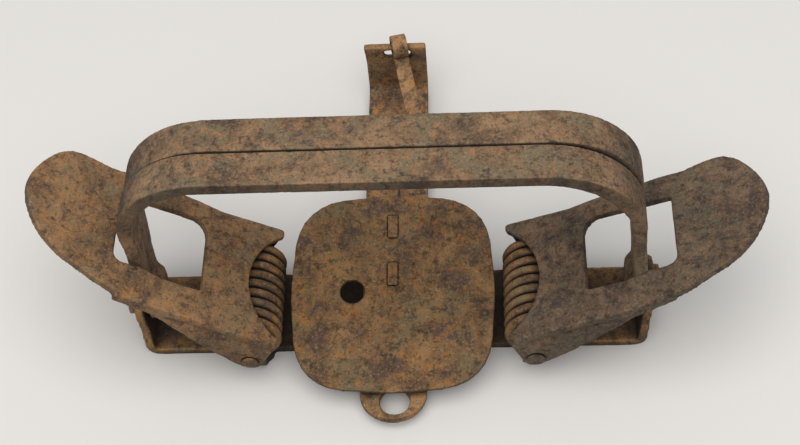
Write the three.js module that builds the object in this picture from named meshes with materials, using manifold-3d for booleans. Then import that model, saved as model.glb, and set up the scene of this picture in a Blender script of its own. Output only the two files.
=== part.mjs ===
// Double coil-spring steel trap, sprung: base strap with upturned ears, riveted cross-piece, two
// jaws, two spring levers on riveted pins, a pan on its shank and post, and a dog.
// Millimetres, +Z up. X runs along the base strap, +Y goes away from the chain loop, and the
// origin is on the floor under the crossing of strap and cross-piece.
import * as THREE from 'three';
import { mergeVertices } from 'three/addons/utils/BufferGeometryUtils.js';
import Module from 'manifold-3d';

const wasm = await Module();
wasm.setup();

// Sizes shared by several pieces
const seatGap = 0.3; // between pieces that touch or turn on each other
const overrun = 2; // how far a cut runs past the face that it opens
const cornerShare = 0.62; // the most of an edge that one rounded corner takes
const weld = 1e-5; // points closer than this are one
const rustBrown = 0x6b4c37;
const darkRust = 0x54402f;
const paleRust = 0x7d5b41;

// Base strap
const strapWidth = 29;
const strapThickness = 3;
const strapHalfLength = 80.8; // to the outer face of an ear, at the floor
const earHeight = 21;
const earLean = 3.2; // how far an ear leans out over its height
const earBendRadius = 4.5; // outer
const earShoulderHeight = 9.5;
const earShoulderHalf = 11.9;
const earNeckHeight = 13;
const earNeckHalf = 11;

// Lever pins and the lugs that carry them
const pinInset = 35.6; // of the levers' pins, from the strap's ends
const pinX = strapHalfLength - pinInset;
const rightShift = -0.7; // of the right pin, its lugs, coil and lever, towards the front
const pinZ = 12.9;
const pinRadius = 2.3;
const pinHeadRadius = 3;
const pinHeadHeight = 0.7;
const lugThickness = 2.5;
const lugHalfWidth = 5.8;
const lugTopRise = 5.6; // above the pin's axis
const lugFrontInner = 18.9; // inner face of the front lug, from the centre line
const lugBackInner = 15;
const lugBendRadius = 2.3; // inner

// Springs
const wireDiameter = 3.1;
const springTurns = 8;
const springFrontY = -17;
const springBackY = 13.1;
const lowerLegLength = 5.4;
const upperLegLength = 12.5;

// Levers
const leverThickness = 2.8;
const leverPlateTop = 12.7; // above the pin's axis
const leverRestLeft = 30; // degrees above level, as the sprung trap stands
const leverRestRight = 22.5;
const leverSkewLeft = 2; // degrees that use has bent the lever back past its coil
const leverSkewRight = -0.3;
const leverSkewStart = 5; // from the pin, along the lever
const flangeFront = 25.8; // outer face of the front flange at the pin end, from the centre line
const flangeFrontOuter = 23.7; // and where the flanges run out
const flangeFrontMiddle = 24.3;
const flangeFrontFlush = 22.3; // on the right lever, without a corner to the paddle
const flangeBackInner = 20.6; // the same of the back flange
const flangeBackMiddle = 20.5;
const flangeBackTurn = 18; // where its bend starts to open out
const flangeBackOuter = 22;
const flangeBendRadius = 3.6; // outer
const flangeEnd = 49.2; // from the pin, along the lever
const flangeLow = 36; // where the front flange is nearly down to the plate
const flangeLip = 1.7; // how far it still reaches below the plate there
const flangeBendFade = 11; // how far the front bend runs on into the paddle
const pinEndReach = 4.1; // the lever's inner end, from the pin's axis
const leverTip = 81;
const paddleBack = 24.1;
const paddleFront = 22.3;
const coilCutRadius = 22.9; // the arc that bares the coil
const coilCutReach = 6.9;
const coilCutY = -3.1;
const windowInner = 22.3;
const windowOuter = 51.4;
const windowBack = 13.4;
const windowFrontWide = 13;
const windowWideEnd = 35;
const windowFrontNarrow = 11.2;
const windowNarrowStart = 42;
const windowRound = 3.2;
const windowBackRound = 6; // of the inner back corner

// Jaws
const jawTop = 88.2;
const jawThickness = 4.2;
const jawSpreadInset = 1.2; // from the strap's ends
const jawHalfSpread = strapHalfLength - jawSpreadInset; // outer face of a leg where it bows out most
const jawBowHeight = 42;
const jawLegLean = 2.4; // how far the legs draw in from there towards the top
const jawRack = 1; // how far the top stands to the left of the pivots
const jawCorner = 28; // outer, on the right
const jawCornerLeft = 32;
const jawWidth = 12.2; // of one strip along the top
const jawLegWidth = 8.4;
const jawTaperTop = 74;
const jawTaperEnd = 44;
const jawSeam = 0.2; // half the gap between the two strips
const pivotZ = 14.5;
const trunnionRadius = 2.6;
const trunnionPast = 5.2; // beyond the strap's ends
const trunnionReach = strapHalfLength + trunnionPast;

// Cross-piece
const crossWidth = 21.4;
const crossThickness = 2.9;
const crossFront = 43.1; // to the end of the chain loop
const crossLoopStart = 33.4;
const loopHoleX = 0.5;
const loopHoleY = -36.4;
const loopHoleRadius = 4.8;
const postFaceY = 96.1; // back face of the dog post
const postTop = 27.1;
const postBendRadius = 6.2; // outer
const postFlare = 0.6; // of the left edge, towards the top
const postFlareHeight = 10;
const dogBarHeight = 1.7; // the bar above the slot
const slotHeight = 4;
const slotLeft = -4.2;
const slotRight = 5.2;
const slotRound = 0.8;
const sightHoleX = -1;
const sightHoleY = 47.6;
const sightHoleRadius = 1.8;

// Rivets through strap and cross-piece
const rivetRadius = 2.6;
const rivetHeadRadius = 4.3;
const rivetHeadHeight = 1.6;
const rivetSpread = 6.2; // half the distance between the two

// Pan, shank and post
const panWidth = 65.9;
const panLength = 67.6;
const panThickness = 1.9;
const panCorner = 22;
const panBow = 0.7; // how far each side swells
const panCentreY = -2.58;
const panCentreZ = 16.85; // of the pan's top face
const panTilt = 12.3; // degrees, front down
const panHoleX = -13;
const panHoleY = 0.3;
const panHoleRadius = 4;
const shankThickness = 3;
const tenonLength = 7.6;
const tenonRise = 0.5; // the peened head above the pan
const tenonFrontY = 6.2; // along the pan, from its centre
const tenonBackY = 22.8;
const shankFront = -7.5;
const panPivotY = 24.2;
const panPivotZ = 12.6;
const panPinRadius = 1.7;
const panPinHead = 2.9;
const panPinHeadHeight = 1;
const shankEyeRadius = 4.6;
const tailEndY = 44.5;
const tailTop = 17.6;
const tailDepth = 5.6;
const notchDepth = 2.6;
const notchDrop = 2;
const shankRound = 1.5; // its front corners
const shankTopRound = 0.8;
const tailRound = 1;
const panPostThickness = 2;
const panPostHalf = 5.2; // ears of the post, along Y from the pivot
const panPostFootBack = 37.2;
const panPostRise = 4.2;
const postRivetY = 33.4;
const postRivetRadius = 1.8;
const postRivetHead = 2.8; // countersunk flush with the foot

// Dog
const dogWidth = 5.4;
const dogThickness = 1.7;
const dogX = 1.3;
const dogYaw = 12.5; // degrees to the right
const dogDrop = 20.6; // degrees below level
const dogReach = 47; // from the eye's centre to the tip
const dogEyeGap = 1.6; // how far in front of the post the shaft turns down
const dogCurlTurn = 202; // degrees, where the curl ends in front of the bar
const dogTipShares = [0.8, 0.62]; // width of the tip and where its taper starts

// Of a domed head: its flat top, its shoulder, and the shoulder's height
const domeShares = [0.62, 0.9, 0.6];

// Facet counts
const round = 24;
const small = 16;

const deg = Math.PI / 180;

// A closed three.js geometry as a solid, and back
function solid(geometry) {
  const g = geometry.clone();
  g.deleteAttribute('normal');
  g.deleteAttribute('uv');
  const m = mergeVertices(g, weld);
  return new wasm.Manifold(new wasm.Mesh({
    numProp: 3,
    vertProperties: new Float32Array(m.attributes.position.array),
    triVerts: new Uint32Array(m.index.array),
  }));
}

function geometryOf(manifold) {
  const mesh = manifold.getMesh();
  const g = new THREE.BufferGeometry();
  g.setAttribute('position', new THREE.BufferAttribute(new Float32Array(mesh.vertProperties), 3));
  g.setIndex(new THREE.BufferAttribute(new Uint32Array(mesh.triVerts), 1));
  return g;
}

// An outline with each corner rounded by a true arc: points are [a, b, radius]
function outline(points) {
  const shape = new THREE.Shape();
  const n = points.length;
  for (let i = 0; i < n; i++) {
    const [px, py] = points[(i + n - 1) % n];
    const [x, y, r = 0] = points[i];
    const [nx, ny] = points[(i + 1) % n];
    const corner = new THREE.Vector2(x, y);
    const into = new THREE.Vector2(px - x, py - y);
    const out = new THREE.Vector2(nx - x, ny - y);
    const half = Math.acos(into.clone().normalize().dot(out.clone().normalize())) / 2;
    const back = Math.min(r / Math.tan(half), cornerShare * into.length(), cornerShare * out.length());
    const a = into.clone().setLength(back).add(corner);
    const b = out.clone().setLength(back).add(corner);
    if (i === 0) shape.moveTo(a.x, a.y);
    else shape.lineTo(a.x, a.y);
    if (back === 0) continue;
    const centre = into.normalize().add(out.normalize()).setLength(back / Math.cos(half)).add(corner);
    const from = a.clone().sub(centre);
    const to = b.clone().sub(centre);
    shape.absarc(centre.x, centre.y, from.length(), from.angle(), to.angle(), from.cross(to) < 0);
  }
  shape.closePath();
  return shape;
}

// A shape in plan, raised from z0 to z1
function plate(shape, z0, z1, curveSegments = 6) {
  const g = new THREE.ExtrudeGeometry(shape, { depth: z1 - z0, bevelEnabled: false, curveSegments });
  return g.translate(0, 0, z0);
}

// A shape in the XZ plane, run from y0 to y1
function alongY(shape, y0, y1, curveSegments = 6) {
  const g = new THREE.ExtrudeGeometry(shape, { depth: y1 - y0, bevelEnabled: false, curveSegments });
  return g.rotateX(Math.PI / 2).translate(0, y1, 0);
}

// A shape in the YZ plane, run from x0 to x1
function alongX(shape, x0, x1, curveSegments = 6) {
  const g = new THREE.ExtrudeGeometry(shape, { depth: x1 - x0, bevelEnabled: false, curveSegments });
  return g.rotateX(Math.PI / 2).rotateZ(Math.PI / 2).translate(x0, 0, 0);
}

function rodX(radius, x0, x1, y, z, sides = round) {
  return new THREE.CylinderGeometry(radius, radius, x1 - x0, sides)
    .rotateZ(Math.PI / 2).translate((x0 + x1) / 2, y, z);
}

function rodY(radius, y0, y1, x, z, sides = round) {
  return new THREE.CylinderGeometry(radius, radius, y1 - y0, sides).translate(x, (y0 + y1) / 2, z);
}

function rodZ(radius, z0, z1, x, y, sides = round) {
  return new THREE.CylinderGeometry(radius, radius, z1 - z0, sides)
    .rotateX(Math.PI / 2).translate(x, y, (z0 + z1) / 2);
}

// A low domed rivet or pin, turned from a profile and standing along +Z from z0
function headedRod(radius, length, headRadius, headHeight, headsBothEnds, sides = round) {
  const p = [new THREE.Vector2(0, headsBothEnds ? -headHeight : 0)];
  const dome = (z, up) => [
    new THREE.Vector2(headRadius * domeShares[0], z + up * headHeight),
    new THREE.Vector2(headRadius * domeShares[1], z + up * headHeight * domeShares[2]),
    new THREE.Vector2(headRadius, z),
  ];
  if (headsBothEnds) {
    p.push(...dome(0, -1), new THREE.Vector2(radius, 0));
  } else {
    p.push(new THREE.Vector2(radius, 0));
  }
  p.push(new THREE.Vector2(radius, length));
  p.push(...dome(length, 1).reverse());
  p.push(new THREE.Vector2(0, length + headHeight));
  return new THREE.LatheGeometry(p, sides).rotateX(Math.PI / 2);
}

// A mirror image in X, with its faces turned back outwards
function mirrored(geometry) {
  const g = geometry.index ? geometry.toNonIndexed() : geometry.clone();
  const p = g.attributes.position;
  for (let i = 0; i < p.count; i++) p.setX(i, -p.getX(i));
  for (let i = 0; i < p.count; i += 3) {
    const b = new THREE.Vector3().fromBufferAttribute(p, i + 1);
    const c = new THREE.Vector3().fromBufferAttribute(p, i + 2);
    p.setXYZ(i + 1, c.x, c.y, c.z);
    p.setXYZ(i + 2, b.x, b.y, b.z);
  }
  g.deleteAttribute('normal');
  g.deleteAttribute('uv');
  return mergeVertices(g, weld);
}

function mesh(name, geometry, color, roughness = 0.85, metalness = 0.35) {
  const m = new THREE.Mesh(geometry, new THREE.MeshStandardMaterial({ color, roughness, metalness }));
  m.name = name;
  m.geometry.computeVertexNormals();
  return m;
}

// The inner face of a leaning ear at a height
const earInnerAt = (z) => strapHalfLength - strapThickness + (earLean * z) / earHeight;

// Base strap: the bar and its two leaning ears in profile, trimmed to the ears' outline from the
// end, then the four lugs for the lever pins
function baseStrap() {
  const x = strapHalfLength;
  const t = strapThickness;
  const innerBend = earBendRadius - t;
  const top = x + earLean;
  const profile = outline([
    [-x, 0, earBendRadius], [x, 0, earBendRadius], [top, earHeight], [top - t, earHeight],
    [earInnerAt(t), t, innerBend], [-earInnerAt(t), t, innerBend], [-top + t, earHeight], [-top, earHeight],
  ]);
  const half = strapWidth / 2;
  const end = new THREE.Shape();
  end.moveTo(-half, -overrun);
  end.lineTo(half, -overrun);
  end.lineTo(half, t + (earShoulderHeight - t) / 4);
  end.quadraticCurveTo(half, (t + earShoulderHeight) / 2, earShoulderHalf, earShoulderHeight);
  end.lineTo(earNeckHalf, earNeckHeight);
  end.absellipse(0, earNeckHeight, earNeckHalf, earHeight - earNeckHeight, 0, Math.PI, false);
  end.lineTo(-earShoulderHalf, earShoulderHeight);
  end.quadraticCurveTo(-half, (t + earShoulderHeight) / 2, -half, t + (earShoulderHeight - t) / 4);
  end.closePath();
  let body = solid(alongY(profile, -half, half, 5))
    .intersect(solid(alongX(end, -top - overrun, top + overrun, 8)));

  // One lug in profile from the end, rising at y, then rounded over the pin
  const lug = (side, inset, pinAtX) => {
    const inner = inset + (pinAtX > 0 ? side * rightShift : 0);
    const outer = inner + lugThickness;
    const s = side;
    const root = half - t;
    const shape = outline([
      [s * root, 0], [s * outer, 0, lugBendRadius + lugThickness], [s * outer, pinZ + lugTopRise],
      [s * inner, pinZ + lugTopRise], [s * inner, t, lugBendRadius], [s * root, t],
    ]);
    const face = new THREE.Shape();
    face.moveTo(pinAtX - lugHalfWidth, -overrun);
    face.lineTo(pinAtX + lugHalfWidth, -overrun);
    face.lineTo(pinAtX + lugHalfWidth, pinZ);
    face.absellipse(pinAtX, pinZ, lugHalfWidth, lugTopRise, 0, Math.PI, false);
    face.closePath();
    return solid(alongX(shape, pinAtX - lugHalfWidth, pinAtX + lugHalfWidth, 5))
      .intersect(solid(alongY(face, -outer - overrun, outer + overrun, 8)));
  };
  for (const at of [-pinX, pinX]) {
    body = body.add(lug(-1, lugFrontInner, at)).add(lug(1, lugBackInner, at));
    body = body.subtract(solid(rodY(pinRadius + seatGap / 2, -flangeFront, flangeFront, at, pinZ)));
  }
  for (const y of [-pivotY, pivotY]) {
    body = body.subtract(solid(rodX(trunnionRadius + seatGap, -top - overrun, top + overrun, y, pivotZ)));
  }
  for (const at of [-rivetSpread, rivetSpread]) {
    body = body.subtract(solid(rodZ(rivetRadius + seatGap / 2, -overrun, t + overrun, at, 0, small)));
  }
  return geometryOf(body);
}

// The jaws' trunnions sit in the middle of the legs' width
const pivotY = jawSeam + jawLegWidth / 2;

// Cross-piece: profile from the side gives the bar and the upturned dog post, its plan the chain
// loop, and its front view the post's slight flare
function crossPiece() {
  const t = crossThickness;
  const z0 = strapThickness;
  const half = crossWidth / 2;
  const side = outline([
    [-crossFront, z0], [postFaceY, z0, postBendRadius], [postFaceY, postTop, t / 3],
    [postFaceY - t, postTop, t / 3], [postFaceY - t, z0 + t, postBendRadius - t],
    [-crossFront, z0 + t],
  ]);
  const plan = new THREE.Shape();
  plan.moveTo(-half - postFlare, postFaceY + overrun);
  plan.lineTo(-half - postFlare, -crossLoopStart);
  plan.lineTo(-half, -crossLoopStart);
  plan.absellipse(0, -crossLoopStart, half, crossFront - crossLoopStart, Math.PI, 2 * Math.PI, false);
  plan.lineTo(half, postFaceY + overrun);
  plan.closePath();
  const front = new THREE.Shape();
  const flareStart = postTop - postFlareHeight;
  front.moveTo(-half, z0 - overrun);
  front.lineTo(half, z0 - overrun);
  front.lineTo(half, postTop + overrun);
  front.lineTo(-half - postFlare, postTop + overrun);
  front.lineTo(-half - postFlare, postTop);
  front.quadraticCurveTo(-half, (flareStart + postTop) / 2, -half, flareStart);
  front.closePath();
  let body = solid(alongX(side, -half - postFlare, half, 6))
    .intersect(solid(plate(plan, z0 - overrun, postTop + overrun, 12)))
    .intersect(solid(alongY(front, -crossFront - overrun, postFaceY + overrun, 6)));
  const slotTop = postTop - dogBarHeight;
  const slot = outline([
    [slotLeft, slotTop - slotHeight, slotRound], [slotRight, slotTop - slotHeight, slotRound],
    [slotRight, slotTop, slotRound], [slotLeft, slotTop, slotRound],
  ]);
  body = body.subtract(solid(alongY(slot, postFaceY - t - overrun, postFaceY + overrun, 3)));
  body = body.subtract(solid(rodZ(loopHoleRadius, z0 - overrun, z0 + t + overrun, loopHoleX, loopHoleY, 32)));
  body = body.subtract(solid(
    rodZ(sightHoleRadius, z0 - overrun, z0 + t + overrun, sightHoleX, sightHoleY, small)));
  for (const at of [-rivetSpread, rivetSpread]) {
    body = body.subtract(
      solid(rodZ(rivetRadius + seatGap / 2, z0 - overrun, z0 + t + overrun, at, 0, small)));
  }
  body = body.subtract(
    solid(rodZ(postRivetRadius + seatGap / 2, z0 - overrun, z0 + t + overrun, 0, postRivetY, small)));
  return geometryOf(body);
}

// Lever: a block in plan, hollowed from below into a channel, its flanges tapering to the paddle,
// and all that lies past the coil bent aside in plan by a few degrees
function lever(skew, frontOuter) {
  const t = leverThickness;
  const top = leverPlateTop;
  const under = top - t;
  const bottom = -pinEndReach;
  const plan = (inset) => {
    const s = new THREE.Shape();
    const inner = -pinEndReach - (inset ? overrun : 0);
    s.moveTo(inner, -flangeFront + inset);
    s.lineTo(flangeLow, -flangeFrontMiddle + inset);
    s.lineTo(flangeEnd, -frontOuter + inset);
    if (inset) {
      s.lineTo(flangeEnd, flangeBackOuter - inset);
    } else {
      const across = (share) => (share < 0 ? share * paddleFront : share * paddleBack);
      const along = (share) => flangeEnd + share * (leverTip - flangeEnd);
      s.lineTo(flangeEnd, across(-1));
      s.splineThru(paddleShares.map(([u, v]) => new THREE.Vector2(along(u), across(v))));
      s.lineTo(flangeEnd, flangeBackOuter);
    }
    s.lineTo(flangeBackTurn, flangeBackMiddle - inset);
    s.lineTo(inner, flangeBackInner - inset);
    s.closePath();
    return s;
  };
  let body = solid(plate(plan(0), bottom, top, 2));
  body = body.subtract(solid(plate(plan(t), bottom - overrun, under)));

  // Below the flanges' lower edge, and all that lies under the paddle
  const below = new THREE.Shape();
  below.moveTo(-pinEndReach - overrun, 0);
  below.lineTo(-pinEndReach, 0);
  below.absarc(0, 0, pinEndReach, Math.PI, 1.6 * Math.PI, false);
  below.quadraticCurveTo(flangeLow / 3, -pinEndReach / 2, flangeLow, under - flangeLip);
  below.lineTo(flangeEnd, under - flangeLip / 2);
  below.lineTo(flangeEnd, under);
  below.lineTo(leverTip + overrun, under);
  below.lineTo(leverTip + overrun, bottom - overrun);
  below.lineTo(-pinEndReach - overrun, bottom - overrun);
  below.closePath();
  body = body.subtract(solid(alongY(below, -flangeFront - overrun, paddleBack + overrun, 8)));

  // Rounded bends: what lies outside a quarter round along each top edge
  const bend = new THREE.Shape();
  const r = flangeBendRadius;
  bend.moveTo(r + overrun, -r);
  bend.lineTo(r + overrun, r + overrun);
  bend.lineTo(-r, r + overrun);
  bend.lineTo(-r, r);
  bend.lineTo(0, r);
  bend.absarc(0, 0, r, Math.PI / 2, 0, true);
  bend.lineTo(r, -r);
  bend.closePath();
  const bendLength = flangeEnd + pinEndReach;
  const backBend = (u0, y0, u1, y1) => solid(alongX(bend, 0, Math.hypot(u1 - u0, y1 - y0), 5)
    .rotateZ(Math.atan2(y1 - y0, u1 - u0)).translate(u0, y0 - r, top - r));
  body = body.subtract(backBend(-pinEndReach - overrun, flangeBackInner, flangeBackTurn, flangeBackMiddle))
    .subtract(backBend(flangeBackTurn, flangeBackMiddle, flangeEnd, flangeBackOuter + r));
  const frontBend = mirrored(alongX(bend, -bendLength - flangeBendFade, overrun, 5)).rotateZ(Math.PI);
  frontBend.rotateZ(Math.atan2(flangeFront - flangeFrontOuter, bendLength));
  frontBend.translate(-pinEndReach, -flangeFront + r, top - r);
  body = body.subtract(solid(frontBend));

  // The arc that bares the coil, and the window that rides on the jaws' legs
  const cut = rodZ(coilCutRadius, under - overrun, top + overrun, coilCutReach - coilCutRadius, coilCutY, 64);
  body = body.subtract(solid(cut));
  const windowShape = outline([
    [windowInner, -windowFrontWide], [windowWideEnd, -windowFrontWide, windowRound],
    [windowNarrowStart, -windowFrontNarrow, windowRound], [windowOuter, -windowFrontNarrow, windowRound],
    [windowOuter, windowBack], [windowInner, windowBack, windowBackRound],
  ]);
  body = body.subtract(solid(plate(windowShape, under - overrun, top + overrun, 4)));
  const bore = rodY(pinRadius + seatGap, -flangeFront - overrun, flangeBackOuter + overrun, 0, 0);
  body = body.subtract(solid(bore));
  const slope = Math.tan(skew * deg);
  return geometryOf(body.warp((p) => {
    p[1] += slope * Math.max(0, p[0] - leverSkewStart);
  }));
}

// Outline of the paddle from the flange's front corner round the tip to the back, as shares of
// its length past the flanges and of its front and back half-widths
const paddleShares = [
  [0.198, -0.906], [0.371, -0.79], [0.528, -0.695], [0.686, -0.55], [0.811, -0.377], [0.915, -0.152],
  [0.975, 0.05], [1, 0.232], [0.99, 0.382], [0.943, 0.548], [0.865, 0.722], [0.774, 0.863],
  [0.67, 0.963], [0.553, 1], [0.403, 0.975], [0.245, 0.93],
];

// Spring: one unbroken wire, its lower leg on the strap's lug and its upper leg under the plate,
// both reaching out along the lever; the coil climbs backwards along the pin
function spring(restAngle) {
  const r = leverPlateTop - leverThickness - seatGap - wireDiameter / 2;
  const stepsPerTurn = 8;
  const sweep = Math.PI - restAngle + 2 * Math.PI * springTurns;
  const steps = Math.round(sweep / (2 * Math.PI) * stepsPerTurn);
  const sides = 5;
  const centre = [];
  const radial = [];
  const tangent = [];
  const put = (c, n, tn) => { centre.push(c); radial.push(n); tangent.push(tn); };
  const at = (phi, y) => new THREE.Vector3(r * Math.cos(phi), y, r * Math.sin(phi));
  const start = -Math.PI / 2;
  const end = start - sweep;
  const down = new THREE.Vector3(Math.cos(start), 0, Math.sin(start));
  const first = new THREE.Vector3(-1, 0, 0);
  put(at(start, springFrontY).addScaledVector(first, -lowerLegLength), down, first);
  for (let i = 0; i <= steps; i++) {
    const k = i / steps;
    const phi = start - sweep * k;
    const y = springFrontY + (springBackY - springFrontY) * k;
    put(at(phi, y), new THREE.Vector3(Math.cos(phi), 0, Math.sin(phi)),
      new THREE.Vector3(Math.sin(phi), 0, -Math.cos(phi)));
  }
  const last = new THREE.Vector3(Math.sin(end), 0, -Math.cos(end));
  put(at(end, springBackY).addScaledVector(last, upperLegLength),
    new THREE.Vector3(Math.cos(end), 0, Math.sin(end)), last);
  const across = new THREE.Vector3(0, 1, 0);
  const position = [];
  for (let i = 0; i < centre.length; i++) {
    for (let s = 0; s < sides; s++) {
      const a = (2 * Math.PI * s) / sides;
      const p = centre[i].clone().addScaledVector(radial[i], (wireDiameter / 2) * Math.cos(a))
        .addScaledVector(across, (wireDiameter / 2) * Math.sin(a));
      position.push(p.x, p.y, p.z);
    }
  }
  const index = [];
  const rings = centre.length;
  for (let i = 0; i < rings - 1; i++) {
    for (let s = 0; s < sides; s++) {
      const a = i * sides + s;
      const b = i * sides + ((s + 1) % sides);
      index.push(a, a + sides, b, b, a + sides, b + sides);
    }
  }
  for (let s = 1; s < sides - 1; s++) {
    index.push(0, s, s + 1);
    const e = (rings - 1) * sides;
    index.push(e, e + s + 1, e + s);
  }
  const g = new THREE.BufferGeometry();
  g.setAttribute('position', new THREE.Float32BufferAttribute(position, 3));
  g.setIndex(index);
  // Least gap of the wire to itself, between points a turn or more apart along it
  let least = Infinity;
  const apart = Math.round(stepsPerTurn * 0.6) * sides;
  const p = new THREE.Vector3();
  const q = new THREE.Vector3();
  const count = position.length / 3;
  for (let i = 0; i < count; i++) {
    p.fromArray(position, 3 * i);
    for (let j = i + apart; j < count; j++) {
      least = Math.min(least, p.distanceTo(q.fromArray(position, 3 * j)));
    }
  }
  return { geometry: g, least };
}

// Jaw: a strip bent to a U, its legs narrower than its top and ending in outward trunnions, and
// the whole a little out of square
function jaw(rack) {
  const t = jawThickness;
  const low = pivotZ - jawLegWidth / 2;
  const foot = earInnerAt(low) - seatGap;
  const x = jawHalfSpread;
  const top = x - jawLegLean;
  const bow = outline([
    [-foot, low], [-x, jawBowHeight, jawCorner],
    [-top, jawTop, jawCornerLeft], [top, jawTop, jawCorner],
    [x, jawBowHeight, jawCorner], [foot, low],
    [foot - t, low], [x - t, jawBowHeight, jawCorner],
    [top - t, jawTop - t, jawCorner - t], [-top + t, jawTop - t, jawCornerLeft - t],
    [-x + t, jawBowHeight, jawCorner], [-foot + t, low],
  ]);
  const inner = jawSeam;
  const wide = jawSeam + jawWidth;
  const narrow = jawSeam + jawLegWidth;
  const end = new THREE.Shape();
  end.moveTo(inner, pivotZ);
  end.absarc(pivotY, pivotZ, jawLegWidth / 2, Math.PI, 2 * Math.PI, false);
  end.lineTo(narrow, jawTaperEnd);
  end.bezierCurveTo(narrow, (jawTaperEnd + jawTaperTop) / 2, wide, (jawTaperEnd + jawTaperTop) / 2,
    wide, jawTaperTop);
  end.lineTo(wide, jawTop + overrun);
  end.lineTo(inner, jawTop + overrun);
  end.closePath();
  let body = solid(alongY(bow, inner, wide, 10))
    .intersect(solid(alongX(end, -x - overrun, x + overrun, 10)));
  body = body.add(solid(rodX(trunnionRadius, foot - t / 2, trunnionReach, pivotY, pivotZ)));
  body = body.add(solid(rodX(trunnionRadius, -trunnionReach, -foot + t / 2, pivotY, pivotZ)));
  return geometryOf(body.warp((p) => {
    p[0] += (rack * Math.max(0, p[2] - pivotZ - jawLegWidth / 2)) / (jawTop - pivotZ);
  }));
}

// Pan in its own plane: top face at zero, centre at the origin
function pan() {
  const a = panWidth / 2;
  const b = panLength / 2;
  const c = panCorner;
  const s = new THREE.Shape();
  s.moveTo(-a + c, -b + panBow);
  s.quadraticCurveTo(0, -b - panBow, a - c, -b + panBow);
  s.quadraticCurveTo(a - panBow, -b + panBow, a - panBow, -b + c);
  s.quadraticCurveTo(a + panBow, 0, a - panBow, b - c);
  s.quadraticCurveTo(a - panBow, b - panBow, a - c, b - panBow);
  s.quadraticCurveTo(0, b + panBow, -a + c, b - panBow);
  s.quadraticCurveTo(-a + panBow, b - panBow, -a + panBow, b - c);
  s.quadraticCurveTo(-a - panBow, 0, -a + panBow, -b + c);
  s.quadraticCurveTo(-a + panBow, -b + panBow, -a + c, -b + panBow);
  let body = solid(plate(s, -panThickness, 0, 8));
  body = body.subtract(
    solid(rodZ(panHoleRadius, -panThickness - overrun, overrun, panHoleX, panHoleY, round)));
  for (const y of [tenonFrontY, tenonBackY]) {
    const hx = shankThickness / 2 + seatGap;
    const hy = tenonLength / 2 + seatGap;
    const slot = outline([[-hx, y - hy], [hx, y - hy], [hx, y + hy], [-hx, y + hy]]);
    body = body.subtract(solid(plate(slot, -panThickness - overrun, overrun)));
  }
  return geometryOf(body);
}

// Where a point of the level frame lies in the pan's own plane
const panAngle = panTilt * deg;
function inPan(y, z) {
  const dy = y - panCentreY;
  const dz = z - panCentreZ;
  return [dy * Math.cos(panAngle) + dz * Math.sin(panAngle),
    -dy * Math.sin(panAngle) + dz * Math.cos(panAngle)];
}

// Shank: an upright plate under the pan with two tenons through it, an eye on the pan pin and a
// notched tail for the dog, drawn from the side in the pan's frame
function panShank() {
  const crossTop = strapThickness + crossThickness;
  const under = -panThickness - seatGap;
  const [eyeY, eyeZ] = inPan(panPivotY, panPivotZ);
  const [frontY, frontZ] = inPan(shankFront, crossTop + seatGap);
  const [bellyY, bellyZ] = inPan(panPivotY - panPostHalf - seatGap, crossTop + 2 * panPostThickness);
  const [tailY, tailZ] = inPan(tailEndY, tailTop);
  const [lowY, lowZ] = inPan(tailEndY, tailTop - tailDepth);
  const [heelY, heelZ] = inPan(panPivotY + shankEyeRadius, panPivotZ - shankEyeRadius / 2);
  const backTopY = tenonBackY + tenonLength / 2 + panThickness;
  const halfTenon = tenonLength / 2;
  const side = outline([
    [frontY, frontZ, shankRound], [bellyY, bellyZ, shankRound],
    [eyeY, eyeZ - shankEyeRadius, shankEyeRadius / 2],
    [heelY, heelZ, shankEyeRadius / 2], [lowY, lowZ, tailRound], [lowY, (lowZ + tailZ) / 2 - notchDrop / 2],
    [tailY - notchDepth, (lowZ + tailZ) / 2 - notchDrop / 2],
    [tailY - notchDepth, (lowZ + tailZ) / 2 + notchDrop / 2], [tailY, (lowZ + tailZ) / 2 + notchDrop / 2],
    [tailY, tailZ, shankTopRound], [backTopY + panLength / 12, under, shankRound],
    [frontY, under, shankTopRound],
  ]);
  let body = solid(alongX(side, -shankThickness / 2, shankThickness / 2, 4));
  for (const y of [tenonFrontY, tenonBackY]) {
    const tenon = outline([
      [y - halfTenon, under - panThickness], [y + halfTenon, under - panThickness],
      [y + halfTenon, tenonRise, tenonRise], [y - halfTenon, tenonRise, tenonRise],
    ]);
    body = body.add(solid(alongX(tenon, -shankThickness / 2, shankThickness / 2, 3)));
  }
  const bore = rodX(panPinRadius + seatGap, -shankThickness, shankThickness, eyeY, eyeZ, small);
  body = body.subtract(solid(bore));
  return geometryOf(body);
}

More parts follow.
